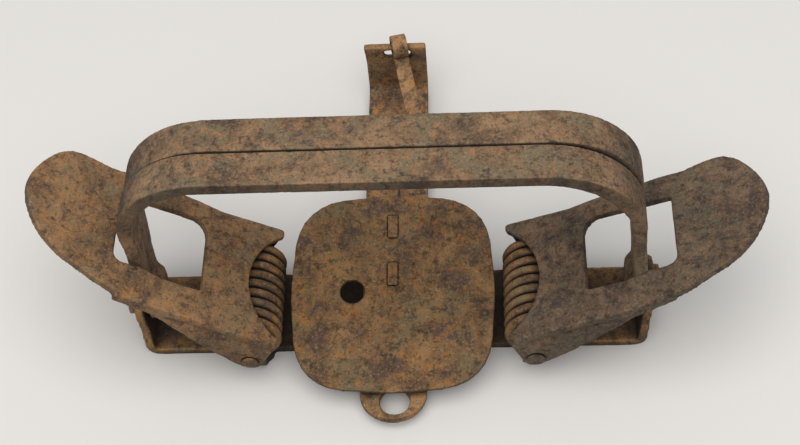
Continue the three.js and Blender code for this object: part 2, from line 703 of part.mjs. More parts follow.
// Pan post: a foot on the cross-piece with two ears either side of the shank
function panPost() {
  const z0 = strapThickness + crossThickness;
  const t = panPostThickness;
  const gapHalf = shankThickness / 2 + seatGap;
  const outer = gapHalf + t;
  const front = panPivotY - panPostHalf;
  const u = outline([
    [-outer, z0, t], [outer, z0, t], [outer, panPivotZ + panPostRise],
    [gapHalf, panPivotZ + panPostRise], [gapHalf, z0 + t], [-gapHalf, z0 + t],
    [-gapHalf, panPivotZ + panPostRise], [-outer, panPivotZ + panPostRise],
  ]);
  const back = panPostFootBack;
  const ears = new THREE.Shape();
  ears.moveTo(front, z0 - overrun);
  ears.lineTo(back, z0 - overrun);
  ears.lineTo(back, z0 + t);
  ears.lineTo(panPivotY + panPostHalf, z0 + t);
  ears.lineTo(panPivotY + panPostHalf, panPivotZ);
  ears.absellipse(panPivotY, panPivotZ, panPostHalf, panPostRise, 0, Math.PI, false);
  ears.closePath();
  let body = solid(alongY(u, front, back, 5))
    .intersect(solid(alongX(ears, -outer - overrun, outer + overrun, 8)));
  body = body.subtract(
    solid(rodX(panPinRadius + seatGap / 2, -outer - overrun, outer + overrun, panPivotY, panPivotZ, small)));
  const sink = countersunk(z0 - overrun, z0 + t, seatGap).translate(0, postRivetY, 0);
  body = body.subtract(solid(sink));
  return geometryOf(body);
}

// The foot's rivet, or the hole for it with a clearance: a shank that widens to a flush head
function countersunk(z0, z1, clearance) {
  const r = postRivetRadius + clearance / 2;
  const head = postRivetHead + clearance;
  const above = clearance > 0 ? overrun : 0;
  const points = [[0, z0], [r, z0], [r, z1 - (head - r)], [head, z1], [head, z1 + above], [0, z1 + above]];
  const profile = points.filter(([a, b], i) => i === 0 || a !== points[i - 1][0] || b !== points[i - 1][1])
    .map(([a, b]) => new THREE.Vector2(a, b));
  return new THREE.LatheGeometry(profile, small).rotateX(Math.PI / 2);
}

// Dog: a flat bar curled round the bar at the top of its post, through the slot, its shaft
// sloping down and aside to the cross-piece. Drawn about the eye's centre.
function dog() {
  const t = dogThickness;
  const barHalf = Math.hypot(crossThickness / 2, dogBarHeight / 2);
  const w = dogWidth / 2;
  const inner = barHalf + seatGap + w * Math.sin(dogYaw * deg);
  const outer = inner + t;
  // The curl: from the slot below the bar, up behind, over the top and down in front
  const neckFront = -crossThickness / 2 - dogEyeGap;
  const curl = new THREE.Shape();
  curl.moveTo(neckFront, -outer);
  curl.lineTo(0, -outer);
  curl.absarc(0, 0, outer, -Math.PI / 2, dogCurlTurn * deg, false);
  curl.absarc(0, 0, inner, dogCurlTurn * deg, -Math.PI / 2, true);
  curl.lineTo(neckFront, -inner);
  curl.closePath();
  let body = solid(alongX(curl, -w, w, 12));
  // The shaft, turned aside and down from the neck's end
  const length = dogReach + neckFront;
  const tip = w * dogTipShares[0];
  const taperAt = length * dogTipShares[1];
  const plan = outline([
    [-w, t / 2], [-w, -taperAt], [-tip, -length, tip / 2], [tip, -length, tip / 2], [w, -taperAt],
    [w, t / 2],
  ]);
  const shaft = plate(plan, -t / 2, t / 2, 3);
  shaft.rotateX(dogDrop * deg).translate(0, neckFront, -(inner + outer) / 2);
  body = body.add(solid(shaft));
  return geometryOf(body).rotateZ(dogYaw * deg);
}

// The model
const trap = new THREE.Group();

trap.add(mesh('base_strap', baseStrap(), darkRust));
trap.add(mesh('cross_piece', crossPiece(), rustBrown));

// Rivets: shank from just above the floor, head on the cross-piece
const crossTop = strapThickness + crossThickness;
const frameRivet = (name, x) => {
  const g = headedRod(rivetRadius, crossTop - seatGap, rivetHeadRadius, rivetHeadHeight, false, small);
  const m = mesh(name, g, darkRust);
  m.position.set(x, 0, seatGap);
  return m;
};
trap.add(frameRivet('frame_rivet_left', -rivetSpread));
trap.add(frameRivet('frame_rivet_right', rivetSpread));

// Levers, pins and springs
for (const [side, s, rest] of [['left', -1, leverRestLeft], ['right', 1, leverRestRight]]) {
  const group = new THREE.Group();
  group.position.set(s * pinX, s < 0 ? 0 : rightShift, pinZ);
  const shape = s < 0 ? lever(leverSkewLeft, flangeFrontOuter) : lever(leverSkewRight, flangeFrontFlush);
  const body = mesh(`lever_${side}`, s < 0 ? mirrored(shape) : shape, rustBrown);
  body.rotation.y = -s * rest * deg;
  group.add(body);
  const flare = (flangeBackOuter - flangeBackInner) / (flangeEnd + pinEndReach);
  const backSeat = flangeBackInner + flare * (pinEndReach + pinHeadRadius) + seatGap;
  const length = flangeFront + seatGap + backSeat;
  const rod = headedRod(pinRadius, length, pinHeadRadius, pinHeadHeight, true).rotateX(-Math.PI / 2);
  const pin = mesh(`lever_pin_${side}`, rod, paleRust);
  pin.position.y = -flangeFront - seatGap;
  group.add(pin);
  const coil = spring(rest * deg);
  group.add(mesh(`spring_${side}`, s < 0 ? mirrored(coil.geometry) : coil.geometry, paleRust));
  console.log(`spring_${side}: least gap to itself ${coil.least.toFixed(2)} mm`);
  trap.add(group);
}

// Jaws: the back one is the front one turned half round
for (const [name, turn] of [['jaw_front', Math.PI], ['jaw_back', 0]]) {
  const m = mesh(name, jaw(turn ? jawRack : -jawRack), rustBrown);
  m.rotation.z = turn;
  trap.add(m);
}

// Pan and shank lie in one tilted group
const panGroup = new THREE.Group();
panGroup.position.set(0, panCentreY, panCentreZ);
panGroup.rotation.x = panAngle;
panGroup.add(mesh('pan', pan(), rustBrown));
panGroup.add(mesh('pan_shank', panShank(), darkRust));
trap.add(panGroup);

trap.add(mesh('pan_post', panPost(), darkRust));
const postHalf = shankThickness / 2 + seatGap + panPostThickness;
const panPin = mesh('pan_pin',
  headedRod(panPinRadius, 2 * postHalf + 2 * seatGap, panPinHead, panPinHeadHeight, true, small)
    .rotateY(Math.PI / 2), paleRust);
panPin.position.set(-postHalf - seatGap, panPivotY, panPivotZ);
trap.add(panPin);
const footRivet = mesh('post_rivet', countersunk(strapThickness + seatGap, crossTop + panPostThickness, 0),
  darkRust);
footRivet.position.set(0, postRivetY, 0);
trap.add(footRivet);

const dogMesh = mesh('dog', dog(), paleRust);
dogMesh.position.set(dogX, postFaceY - crossThickness / 2, postTop - dogBarHeight / 2);
trap.add(dogMesh);

export default trap;
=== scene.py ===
# %% [markdown]
# A steel jaw trap with two coil-spring levers, old and rusty, as it lies after it has snapped shut.
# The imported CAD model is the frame: it says where every strap, lever and jaw is. Blender gives
# those pieces what time has done to them: worn edges, scale, pits and rust of several colours.

# %% Load the frame
import math

import bmesh
import bpy
from mathutils import Matrix, Vector, noise


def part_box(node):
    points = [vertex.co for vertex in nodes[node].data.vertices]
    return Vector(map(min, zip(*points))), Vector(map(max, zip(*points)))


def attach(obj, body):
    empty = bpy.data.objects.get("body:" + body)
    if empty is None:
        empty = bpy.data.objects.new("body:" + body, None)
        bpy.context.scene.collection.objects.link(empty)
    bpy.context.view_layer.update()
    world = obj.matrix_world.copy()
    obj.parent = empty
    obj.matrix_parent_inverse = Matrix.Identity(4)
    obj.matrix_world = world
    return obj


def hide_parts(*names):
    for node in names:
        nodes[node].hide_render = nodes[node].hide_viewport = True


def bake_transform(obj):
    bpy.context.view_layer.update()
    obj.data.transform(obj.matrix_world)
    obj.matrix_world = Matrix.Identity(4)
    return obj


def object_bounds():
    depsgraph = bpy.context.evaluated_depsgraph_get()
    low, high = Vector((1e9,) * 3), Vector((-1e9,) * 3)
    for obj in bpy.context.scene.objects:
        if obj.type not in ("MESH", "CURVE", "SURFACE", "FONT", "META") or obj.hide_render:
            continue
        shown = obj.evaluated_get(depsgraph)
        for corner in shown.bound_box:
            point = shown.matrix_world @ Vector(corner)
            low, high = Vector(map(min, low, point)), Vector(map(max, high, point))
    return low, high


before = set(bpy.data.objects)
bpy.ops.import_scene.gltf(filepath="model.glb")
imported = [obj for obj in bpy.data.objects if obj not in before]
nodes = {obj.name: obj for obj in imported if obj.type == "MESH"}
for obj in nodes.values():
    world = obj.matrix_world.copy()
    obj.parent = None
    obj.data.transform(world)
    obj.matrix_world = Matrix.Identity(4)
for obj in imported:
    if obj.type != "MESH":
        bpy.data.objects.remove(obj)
cad_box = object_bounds()
# Blender works in metres, and the sizes of the trap are written here in millimetres
MM = 0.001
print("frame:", len(nodes), "nodes, box in mm",
      [[round(v / MM, 1) for v in corner] for corner in cad_box])

# %% [markdown]
# The photograph looks down on the trap from the front, steeply and slightly from the right. The
# camera's place, its three angles and its focal length were found by matching the outlines of the
# jaws, levers, pan and strap, so the lens is written in pixels of the 800 pixel wide photograph.

# %% Camera
PHOTO_WIDTH = 800
FOCAL_PX = 1516.5
SENSOR_WIDTH_MM = 36
CAMERA_PLACE = Vector((31.24, -268.96, 426.14)) * MM
CAMERA_PITCH = math.radians(54.21)
CAMERA_YAW = math.radians(5.68)
CAMERA_ROLL = math.radians(-6.01)
NEAREST_SEEN = 0.01


def aim_camera():
    """Builds the camera's three axes from its angles and puts it at its place."""
    camera = bpy.data.objects.new("camera", bpy.data.cameras.new("camera"))
    bpy.context.scene.collection.objects.link(camera)
    camera.data.sensor_width = SENSOR_WIDTH_MM
    camera.data.lens = FOCAL_PX * camera.data.sensor_width / PHOTO_WIDTH
    camera.data.clip_start = NEAREST_SEEN
    forward = Vector((-math.sin(CAMERA_YAW) * math.cos(CAMERA_PITCH),
                      math.cos(CAMERA_YAW) * math.cos(CAMERA_PITCH),
                      -math.sin(CAMERA_PITCH)))
    level = Vector((math.cos(CAMERA_YAW), math.sin(CAMERA_YAW), 0))
    above = level.cross(forward)
    right = math.cos(CAMERA_ROLL) * level + math.sin(CAMERA_ROLL) * above
    up = -math.sin(CAMERA_ROLL) * level + math.cos(CAMERA_ROLL) * above
    camera.matrix_world = Matrix((
        (right.x, up.x, -forward.x, CAMERA_PLACE.x),
        (right.y, up.y, -forward.y, CAMERA_PLACE.y),
        (right.z, up.z, -forward.z, CAMERA_PLACE.z),
        (0, 0, 0, 1)))
    bpy.context.scene.camera = camera
    return camera


camera = aim_camera()
print("camera: lens", round(camera.data.lens, 1), "mm")

# %% [markdown]
# A rusty surface is a stack of layers, so the material is built as one. Four small helpers keep that
# readable: each adds one kind of node and hands back its output, so that layers can be written as
# plain steps, one over the other.

# %% Small helpers for the node tree
def ramp(tree, source, stops):
    """A colour ramp on a 0 to 1 source: stops are (place, colour)."""
    node = tree.nodes.new("ShaderNodeValToRGB")
    # A new stop may start anywhere, because its place is set below
    while len(node.color_ramp.elements) < len(stops):
        node.color_ramp.elements.new(0.5)
    for element, (place, colour) in zip(node.color_ramp.elements, stops):
        element.position = place
        element.color = (*colour, 1)
    tree.links.new(source, node.inputs["Fac"])
    return node.outputs["Color"]


def mask(tree, source, low, high, most=1.0):
    """A soft threshold: 0 below low, and most above high."""
    node = tree.nodes.new("ShaderNodeMapRange")
    node.interpolation_type = "SMOOTHSTEP"
    node.inputs["From Min"].default_value = low
    node.inputs["From Max"].default_value = high
    node.inputs["To Max"].default_value = most
    tree.links.new(source, node.inputs["Value"])
    return node.outputs["Result"]


def grain(tree, coordinates, size, detail, roughness, distortion):
    """Noise whose largest lumps are about size millimetres across."""
    node = tree.nodes.new("ShaderNodeTexNoise")
    node.inputs["Scale"].default_value = 1 / (size * MM)
    node.inputs["Detail"].default_value = detail
    node.inputs["Roughness"].default_value = roughness
    node.inputs["Distortion"].default_value = distortion
    tree.links.new(coordinates, node.inputs["Vector"])
    return node.outputs["Fac"]


def mix(tree, amount, below, above, blend="MIX"):
    """One colour layer over another. Each of the three is a socket, or a number or colour."""
    node = tree.nodes.new("ShaderNodeMix")
    node.data_type = "RGBA"
    node.blend_type = blend
    # A Mix node has sockets for every data type, and its two colours are numbers 6 and 7
    sockets = ((amount, node.inputs["Factor"]), (below, node.inputs[6]), (above, node.inputs[7]))
    for value, socket in sockets:
        if isinstance(value, bpy.types.NodeSocket):
            tree.links.new(value, socket)
        elif isinstance(value, tuple):
            socket.default_value = (*value, 1)
        else:
            socket.default_value = value
    return node.outputs[2]


# %% [markdown]
# Noise at seven scales decides where each layer of the rust shows: brown patches, dull olive scale,
# purplish stains, blooms of orange rust, dark mottles, pale dust and dark pores. The noises have
# rough, many-octave edges, because real rust spreads from points and never ends in a soft blur. An
# image of rust could be wrapped round the steel in place of this, but noise has no seams at the
# bends and costs nothing to carry. All of it reads Object coordinates and the object's own normals,
# so that the pattern moves with the piece.

# %% Rust colours and layers
BROWN = (0.168, 0.098, 0.050)
WARM_BROWN = (0.255, 0.151, 0.078)
DEEP_BROWN = (0.081, 0.050, 0.030)
OLIVE = (0.150, 0.116, 0.066)
ORANGE = (0.320, 0.148, 0.058)
PURPLE = (0.075, 0.048, 0.040)
DARK = (0.030, 0.019, 0.012)
DUST = (0.320, 0.225, 0.135)
# The near-black of the painted shade in corners and hollows
SHADE_BLACK = (0.014, 0.010, 0.007)

# Each noise: size in mm, detail, roughness, distortion
GRAINS = {
    "patches": (15, 8, 0.72, 0.4),
    "scale": (11, 8, 0.68, 0.4),
    "stains": (8, 8, 0.70, 0.8),
    "blooms": (5.5, 9, 0.74, 0.3),
    "mottles": (2.6, 7, 0.72, 0.3),
    "dust": (0.9, 4, 0.7, 0.0),
    "pores": (0.7, 3, 0.6, 0.0),
}
# The brown under all layers, along the patches noise
GROUND = ((0.40, DEEP_BROWN), (0.49, BROWN), (0.59, WARM_BROWN))
# Each layer: noise, colour, where it starts and is full, how far its amount moves both, and its most
LAYERS = (
    ("scale", OLIVE, 0.60, 0.68, 0.16, 0.75),
    ("stains", PURPLE, 0.62, 0.70, 0.14, 0.8),
    ("blooms", ORANGE, 0.57, 0.74, 0.12, 0.75),
    ("mottles", DARK, 0.55, 0.71, 0.12, 0.75),
    ("dust", DUST, 0.50, 0.70, 0, 0.55),
    ("pores", DARK, 0.54, 0.70, 0, 0.7),
)
# Each relief: noise, height in mm, where a negative one is a hollow, and strength
RELIEFS = (("blooms", 0.25, 0.6), ("mottles", -0.35, 0.7), ("dust", 0.15, 0.6), ("pores", -0.15, 0.6))
print("rust:", len(GRAINS), "noises,", len(LAYERS), "layers over the brown,", len(RELIEFS), "reliefs")

# %% [markdown]
# On top of the layers, two things follow the shape, and both are painted shade. The narrow faces of a
# strap are painted darker, and they are found by their normal. Hollows and inner corners are painted
# dark, and they are found by ambient occlusion, which asks how much open air is near a point: once
# within a few millimetres for corners, and once further for wide hollows, such as the strap under the
# levers.

# %% The rust material
# Painted shade in corners: reach in mm, and how closed and how open they are
NARROW_REACH, NARROW_CLOSED, NARROW_OPEN = 4, 0.30, 0.90
# How far the painted shade darkens corners and wide hollows
CORNER_SHADE_AMOUNT, HOLLOW_SHADE_AMOUNT = 0.65, 0.93
AIR_SAMPLES = 8
ON_EDGE, ON_FACE = 0.45, 0.85
SIDE_SHADE_FADE = 8
SMOOTHEST, ROUGHEST = 0.55, 1.0
SHINE = 0.35


def rust(name, tone=1.0, warmth=1.0, orange=0.5, olive=0.5, stain=0.5, dark=0.5, face=(0, 0, 1),
         side_shade=0.5, side_shade_above=-10, hollow_shade=(22, 0.08, 0.55), shift=(0, 0, 0)):
    """A rusted steel. tone scales the brightness and warmth the saturation. orange to dark say how
    much each layer shows. side_shade is painted shade: how much of the colour is left on faces turned
    away from face, from the height side_shade_above in mm on. hollow_shade is painted shade in wide
    hollows: how far it reaches in mm, and how closed and how open the hollow is. shift moves the
    pattern, so that no two materials show the same patches."""
    material = bpy.data.materials.new(name)
    material.use_nodes = True
    tree = material.node_tree
    shader = tree.nodes["Principled BSDF"]
    coordinates = tree.nodes.new("ShaderNodeTexCoord")
    mapping = tree.nodes.new("ShaderNodeMapping")
    mapping.inputs["Location"].default_value = shift
    tree.links.new(coordinates.outputs["Object"], mapping.inputs["Vector"])

    def toned(colour):
        return tuple(c * tone for c in colour)

    grains = {kind: grain(tree, mapping.outputs["Vector"], *sizes) for kind, sizes in GRAINS.items()}
    amounts = {"scale": olive, "stains": stain, "blooms": orange, "mottles": dark, "dust": 0, "pores": 0}
    colour = ramp(tree, grains["patches"], [(place, toned(brown)) for place, brown in GROUND])
    for kind, layer, start, full, reach, most in LAYERS:
        moved = reach * amounts[kind]
        shows = mask(tree, grains[kind], start - moved, full - moved, most)
        colour = mix(tree, shows, colour, toned(layer))
    warm = tree.nodes.new("ShaderNodeHueSaturation")
    warm.inputs["Saturation"].default_value = warmth
    tree.links.new(colour, warm.inputs["Color"])
    colour = warm.outputs["Color"]

    # The object's own normal, measured against the piece's broad face
    turned = tree.nodes.new("ShaderNodeVectorMath")
    turned.operation = "DOT_PRODUCT"
    turned.inputs[1].default_value = Vector(face).normalized()
    tree.links.new(coordinates.outputs["Normal"], turned.inputs[0])
    broad = mask(tree, turned.outputs["Value"], ON_EDGE, ON_FACE)
    split = tree.nodes.new("ShaderNodeSeparateXYZ")
    tree.links.new(coordinates.outputs["Object"], split.inputs["Vector"])
    # Painted shade: faces turned away from the broad face are darkened, from a given height on
    high = mask(tree, split.outputs["Z"], (side_shade_above - SIDE_SHADE_FADE) * MM, (side_shade_above + SIDE_SHADE_FADE) * MM)
    side_shaded = mix(tree, high, colour, mix(tree, 1.0, colour, (side_shade, side_shade, side_shade), "MULTIPLY"))
    colour = mix(tree, broad, side_shaded, colour)

    # Painted shade: corners and wide hollows are darkened by ambient occlusion
    for reach, closed, opened, shade_amount in ((NARROW_REACH, NARROW_CLOSED, NARROW_OPEN, CORNER_SHADE_AMOUNT),
                                        (*hollow_shade, HOLLOW_SHADE_AMOUNT)):
        near = tree.nodes.new("ShaderNodeAmbientOcclusion")
        near.inputs["Distance"].default_value = reach * MM
        near.samples = AIR_SAMPLES
        open_air = mask(tree, near.outputs["AO"], closed, opened)
        colour = mix(tree, open_air, mix(tree, shade_amount, colour, SHADE_BLACK), colour)
    tree.links.new(colour, shader.inputs["Base Color"])

    roughness = tree.nodes.new("ShaderNodeMapRange")
    roughness.inputs["To Min"].default_value = SMOOTHEST
    roughness.inputs["To Max"].default_value = ROUGHEST
    tree.links.new(grains["mottles"], roughness.inputs["Value"])
    tree.links.new(roughness.outputs["Result"], shader.inputs["Roughness"])
    shader.inputs["Specular IOR Level"].default_value = SHINE

    normal = None
    for kind, height, strength in RELIEFS:
        bump = tree.nodes.new("ShaderNodeBump")
        bump.inputs["Distance"].default_value = abs(height) * MM
        bump.inputs["Strength"].default_value = strength
        bump.invert = height < 0
        tree.links.new(grains[kind], bump.inputs["Height"])
        if normal:
            tree.links.new(normal, bump.inputs["Normal"])
        normal = bump.outputs["Normal"]
    tree.links.new(normal, shader.inputs["Normal"])
    return material


# %% [markdown]
# The pieces have rusted differently: the left lever shows the most orange, the right one is olive,
# the pan is stained, and the springs have few stains and mottles. So each gets its own mix of the same
# layers. The left lever's high tone and the right lever's low one are partly their rust and partly
# painted light and shade: the left plate is painted as lit more brightly than the right one. A lever's
# and the pan's broad face is tilted as the piece is, which the material has to know to tell its broad
# faces from its narrow ones.

# %% Eight tones of rust
LEVER_REST_LEFT, LEVER_REST_RIGHT, PAN_TILT = 30, 22.5, 12.3
# Painted shade in wide hollows: reach in mm, and how closed and how open they are
UNDER_LEVERS = (45, 0.36, 0.60)
AMONG_COILS = (20, 0.18, 0.70)
JAW_BOW_HEIGHT = 66


def tilted(degrees, axis):
    """Straight up, turned about an axis: the broad face of a lever or of the pan."""
    return Matrix.Rotation(math.radians(degrees), 3, axis) @ Vector((0, 0, 1))


RUSTS = {
    "strap": rust("strap_rust", tone=1.65, warmth=1.16, orange=0.35, olive=0.4, stain=0.6, dark=0.65,
                  side_shade=0.7, hollow_shade=UNDER_LEVERS, shift=(0.3, 0.1, 0)),
    "cross": rust("cross_rust", tone=1.36, warmth=1.1, orange=0.6, olive=0.3, stain=0.6, dark=0.6,
                  side_shade=0.7, shift=(0.9, 0.3, 0)),
    # The left lever's high tone is partly its rust and partly painted light
    "lever_left": rust("lever_left_rust", tone=1.12, warmth=1.08, orange=0.65, olive=0.45,
                       face=tilted(LEVER_REST_LEFT, "Y"), side_shade=0.75),
    # The right lever's low tone is partly its rust and partly painted shade
    "lever_right": rust("lever_right_rust", tone=0.70, warmth=0.92, orange=0.4, olive=0.75, dark=0.6,
                        face=tilted(-LEVER_REST_RIGHT, "Y"), side_shade=0.75, shift=(0.7, 0.2, 0.4)),
    # Painted shade on the front faces of the jaws' bow, above JAW_BOW_HEIGHT
    "jaw": rust("jaw_rust", tone=1.08, orange=0.45, olive=0.7, stain=0.45, side_shade=0.42,
                side_shade_above=JAW_BOW_HEIGHT, shift=(1.3, 0.5, 0.1)),
    "pan": rust("pan_rust", tone=0.98, warmth=1.14, orange=0.6, olive=0.6, stain=0.7, dark=0.55,
                face=tilted(PAN_TILT, "X"), shift=(2.1, 0.4, 0.6)),
    "spring": rust("spring_rust", tone=1.28, warmth=1.12, stain=0.3, dark=0.35, side_shade=0.8,
                   hollow_shade=AMONG_COILS, shift=(3.2, 0.2, 0.1)),
    "rivet": rust("rivet_rust", tone=0.95, olive=0.3, side_shade=0.7, shift=(4.0, 0.3, 0.8)),
}
print("rust materials:", ", ".join(RUSTS))

# %% [markdown]
# The faces of old straps aren't flat: rust lifts the surface in scale and eats pits into it. The
# pits stand in swarms, as they do where water has lain. The same could be sculpted by hand, but noise
# treats all faces alike and gives the same result each run. It moves the points of a fine skin along
# their normals, by about a tenth of a millimetre.

# %% A weathered skin
BROAD_SIZE, LUMP_SIZE, SWARM_SIZE, PIT_SIZE = 11, 2.6, 8, 1.7
# Each noise's smoothness, the step between its octaves, and their number
BROAD_OCTAVES, LUMP_OCTAVES = (1.0, 2.0, 2), (0.8, 2.0, 3)
BROAD_SHARE, LUMP_SHARE = 0.5, 0.6
SWARM_GAIN, SWARM_LEVEL = 2.2, 0.45
PIT_LEVEL, PIT_FULL = 0.12, 0.6
SEED_STEP = (3.7, 1.9, 5.3)


def weather(obj, scale_depth, pit_depth, seed):
    """Moves a fine mesh along its normals: broad scale, small lumps and swarms of pits. Nothing
    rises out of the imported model's box, so that the strap still lies flat."""
    offset = Vector([seed * step for step in SEED_STEP])
    mesh = obj.data
    moved = []
    for vertex in mesh.vertices:
        p = vertex.co / MM
        broad = noise.fractal(p / BROAD_SIZE + offset, *BROAD_OCTAVES)
        lumps = noise.fractal(p / LUMP_SIZE + offset, *LUMP_OCTAVES)
        swarm = min(1.0, max(0.0, noise.noise(p / SWARM_SIZE - offset) * SWARM_GAIN + SWARM_LEVEL))
        pit = max(0.0, noise.noise(p / PIT_SIZE - offset) - PIT_LEVEL) / PIT_FULL
        rise = scale_depth * (BROAD_SHARE * broad + LUMP_SHARE * lumps)
        rise -= pit_depth * swarm * min(1.0, pit)
        moved.append(vertex.co + vertex.normal * rise * MM)
    low, high = cad_box
    for vertex, place in zip(mesh.vertices, moved):
        vertex.co = [min(max(value, least), most) for value, least, most in zip(place, low, high)]
    mesh.update()


print("skin: lumps of", LUMP_SIZE, "mm and pits of", PIT_SIZE, "mm, in swarms of", SWARM_SIZE, "mm")

# %% [markdown]
# Old straps have no sharp edges left either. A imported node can't be changed, so a worn copy of it
# stands in its place. The copy's loose triangles are merged first, and its edges are bevelled. A
# voxel remesh then gives it an even skin of small quads, whatever its faces were before, which the
# weathering needs. A subdivision would leave long thin faces long and thin.

# %% Worn copies of the steel pieces
MERGE_WITHIN = 0.002
FLAT_DEGREES, EDGE_DEGREES = 0.5, 35
EDGE_SEGMENTS = 2
SMOOTH_SHARE = 0.5
# Stout pieces and small ones: bevel, smoothing rounds, and depths of scale and pits in mm
STOUT = {"edge": 0.6, "smoothings": 4, "scale_depth": 0.07, "pit_depth": 0.16}
SLIGHT = {"edge": 0.2, "smoothings": 1, "scale_depth": 0.05, "pit_depth": 0.06}


def only(obj):
    """Makes one object the selected and active one."""
    bpy.ops.object.select_all(action="DESELECT")
    obj.select_set(True)
    bpy.context.view_layer.objects.active = obj


def finish_modifier(obj, kind, **values):
    """Adds a modifier with these values and applies it."""
    only(obj)
    modifier = obj.modifiers.new(kind.lower(), kind)
    for name, value in values.items():
        setattr(modifier, name, value)
    bpy.ops.object.modifier_apply(modifier=modifier.name)


def worn_copy(name, body, material, slot, voxel, edge, smoothings, scale_depth, pit_depth,
              before=None, after=None):
    """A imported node's shape with worn edges and a weathered skin, standing in its place. before and
    after move its points before the bevel and after the remesh."""
    piece = nodes[name].copy()
    piece.data = nodes[name].data.copy()
    piece.name = f"worn_{name}"
    piece.data.materials.clear()
    for key in list(piece.keys()):
        del piece[key]
    piece.parent = None
    bpy.context.scene.collection.objects.link(piece)
    only(piece)
    bpy.ops.object.mode_set(mode="EDIT")
    bpy.ops.mesh.select_all(action="SELECT")
    bpy.ops.mesh.remove_doubles(threshold=MERGE_WITHIN * MM)
    bpy.ops.mesh.dissolve_limited(angle_limit=math.radians(FLAT_DEGREES))
    bpy.ops.object.mode_set(mode="OBJECT")
    if before:
        before(piece.data)
    finish_modifier(piece, "BEVEL", width=edge * MM, segments=EDGE_SEGMENTS,
                    limit_method="ANGLE", angle_limit=math.radians(EDGE_DEGREES), use_clamp_overlap=True)
    finish_modifier(piece, "REMESH", mode="VOXEL", voxel_size=voxel * MM, adaptivity=0)
    if after:
        after(piece.data)
    finish_modifier(piece, "SMOOTH", factor=SMOOTH_SHARE, iterations=smoothings)
    weather(piece, scale_depth, pit_depth, seed=len(name) + len(body))
    bpy.ops.object.shade_smooth()
    piece.data.materials.append(RUSTS[material])
    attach(piece, body)
    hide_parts(name)
    print(piece.name, len(piece.data.polygons), "faces")


# %% [markdown]
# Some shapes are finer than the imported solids. The shank's two tenons were peened: hammered until
# they filled their slots in the pan, so their heads are spread and lie nearly flush, and the lever
# pins' heads were hammered flat too. Each of these is a small move of the copy's own points, measured
# from the place that it belongs to.

# %% Peened tenons and flat pin heads
PIN_X, PIN_Z = 45.2, 12.9
PAN_CENTRE = Vector((0, -2.58, 16.85))
TENONS_ALONG_PAN = (6.2, 22.8)
TENON_LENGTH, TENON_SPREAD, TENON_SUNK = 2.15, 0.24, 0.7
PAN_ALONG = Vector((0, math.cos(math.radians(PAN_TILT)), math.sin(math.radians(PAN_TILT))))
PAN_UP = tilted(PAN_TILT, "X")
HEAD_HEIGHT, HEAD_REACH = 1.0, 1.05
HEAD_LEFT_STANDING, HEAD_SPREAD = 0.35, 0.12


def peen(mesh):
    """Spreads the tenons' heads to fill their slots and lowers them nearly flush."""
    for vertex in mesh.vertices:
        p = vertex.co / MM - PAN_CENTRE
        along, up = p.dot(PAN_ALONG), p.dot(PAN_UP)
        if up < -TENON_LENGTH:
            continue
        middle = min(TENONS_ALONG_PAN, key=lambda y: abs(along - y))
        p.x += math.copysign(TENON_SPREAD, p.x)
        spread = PAN_ALONG * math.copysign(TENON_SPREAD, along - middle)
        p += spread - PAN_UP * (max(0.0, up) * TENON_SUNK)
        vertex.co = (p + PAN_CENTRE) * MM


def flatten_heads(mesh):
    """Presses a lever pin's heads wider and flatter, as hammered."""
    low, high = (f(v.co.y for v in mesh.vertices) for f in (min, max))
    middle = Vector((sum(v.co.x for v in mesh.vertices) / len(mesh.vertices), 0, PIN_Z * MM))
    for vertex in mesh.vertices:
        if min(vertex.co.y - low, high - vertex.co.y) < HEAD_REACH * MM:
            face = low + HEAD_HEIGHT * MM if vertex.co.y < 0 else high - HEAD_HEIGHT * MM
            vertex.co.y = face + (vertex.co.y - face) * HEAD_LEFT_STANDING
            vertex.co.x += (vertex.co.x - middle.x) * HEAD_SPREAD
            vertex.co.z += (vertex.co.z - middle.z) * HEAD_SPREAD


print("tenons spread by", TENON_SPREAD, "mm, pin heads", HEAD_HEIGHT * HEAD_LEFT_STANDING, "mm high")

# %% [markdown]
# The same way suits three more shapes. The levers' front flanges have a shallow crease under the
# fold, from the press. The strap's front lugs narrow below the pins. And the jaws' legs stand
# straighter above their pivots. The first moves come before the bevel, where few points are in the
# way. These come after the remesh, because a bend shows only on a fine mesh.

# %% Creased flanges, narrow lugs and straight legs
# The crease, measured from the pin along and across the lever, within reach of the flange's face
CREASE_HEIGHT, CREASE_WIDTH, CREASE_DEPTH, CREASE_REACH = 8.9, 1.0, 1.3, 4
CREASE_LENGTH, CREASE_START, CREASE_FADE = 36, 4, 12
# The legs stand further out than LEGS_BEYOND, and their swell starts and ends over these heights
LEGS_BEYOND, LEG_FOOT, LEG_HEAD = 60, 17, 46
LEG_SWELL, LEG_SWELL_START, LEG_SWELL_END = 1.7, 5, 24
# The front lugs stand within LUG_REACH of a pin and in front of LUG_BACK
LUG_REACH, LUG_BACK = 7, -16.5
LUG_TAPER, LUG_TAPER_IN, LUG_TAPER_DOWN = 0.32, 2, 6


def bow_legs(mesh):
    """Pushes the legs outwards between their pivots and the bow, so that they stand straighter."""
    for vertex in mesh.vertices:
        x, height = vertex.co.x / MM, vertex.co.z / MM
        if abs(x) > LEGS_BEYOND and LEG_FOOT < height < LEG_HEAD:
            swell = min(1, (height - LEG_FOOT) / LEG_SWELL_START)
            swell *= min(1, (LEG_HEAD - height) / LEG_SWELL_END)
            vertex.co.x += math.copysign(LEG_SWELL * swell * swell * (3 - 2 * swell), x) * MM


